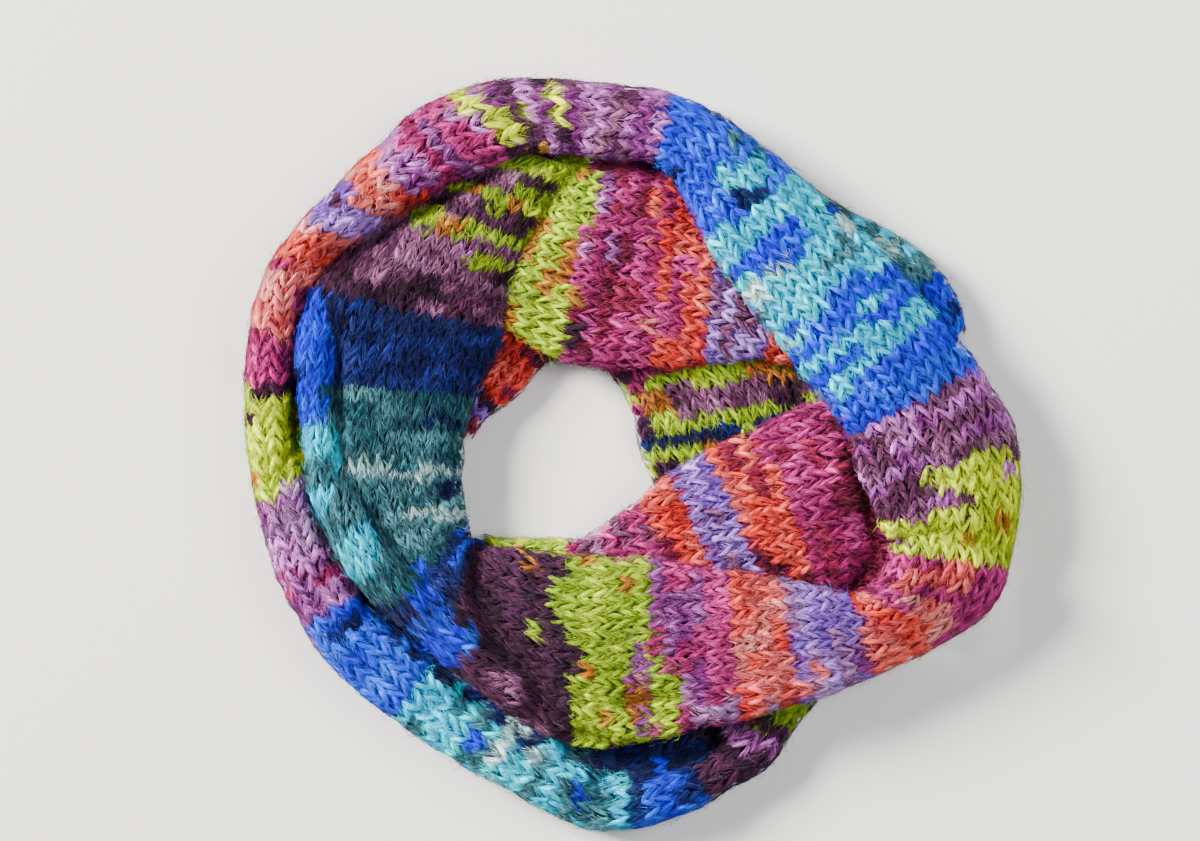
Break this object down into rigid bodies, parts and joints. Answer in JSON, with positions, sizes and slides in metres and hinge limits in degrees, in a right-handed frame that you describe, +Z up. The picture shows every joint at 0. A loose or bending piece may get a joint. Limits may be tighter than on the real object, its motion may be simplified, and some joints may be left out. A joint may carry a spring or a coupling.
{
  "type": "infinity scarf",
  "caption": "Knitted infinity scarf in brushed striped wool, a flattened tube wound into a coil and laid down, with an open neck hole.",
  "frame": {"origin": "the middle of the laid scarf's outline, on the surface that it rests on", "axes": "+Z up from the surface, +X to the right and +Y away from the viewer who looks down on it, so that the wide crossing stretch lies at +X +Y"},
  "size_m": [0.3456, 0.3344, 0.0372],
  "materials": {
    "bottom_outer_stretch": "wool, aqua, blue and plum",
    "left_outer_stretch": "wool, magenta, orange, lime and mauve",
    "top_outer_stretch": "wool, mauve, magenta and lime",
    "crossing_stretch": "wool, blue, aqua and mauve",
    "right_turn": "wool, lime, magenta and orange",
    "front_stretch": "wool, magenta, orange, violet, lime and plum",
    "left_inner_stretch": "wool, teal, blue, plum and cream",
    "top_inner_stretch": "wool, magenta, orange, violet and lime",
    "inner_fold": "wool, magenta, orange and violet",
    "inner_rim": "wool, plum and lime",
    "lowest_right_stretch": "wool, lime, plum and navy",
    "lowest_left_stretch": "wool, orange and violet",
    "crossing_underlap": "wool, teal and navy",
    "hidden_windings": "wool, plum, blue and magenta"
  },
  "bodies": {
    "root": {"bottom_outer_stretch": "bottom_outer_stretch", "left_outer_stretch": "left_outer_stretch", "top_outer_stretch": "top_outer_stretch", "crossing_stretch": "crossing_stretch", "right_turn": "right_turn", "front_stretch": "front_stretch", "left_inner_stretch": "left_inner_stretch", "top_inner_stretch": "top_inner_stretch", "inner_fold": "inner_fold", "inner_rim": "inner_rim", "lowest_right_stretch": "lowest_right_stretch", "lowest_left_stretch": "lowest_left_stretch", "crossing_underlap": "crossing_underlap", "hidden_windings": "hidden_windings"}
  },
  "joints": []
}
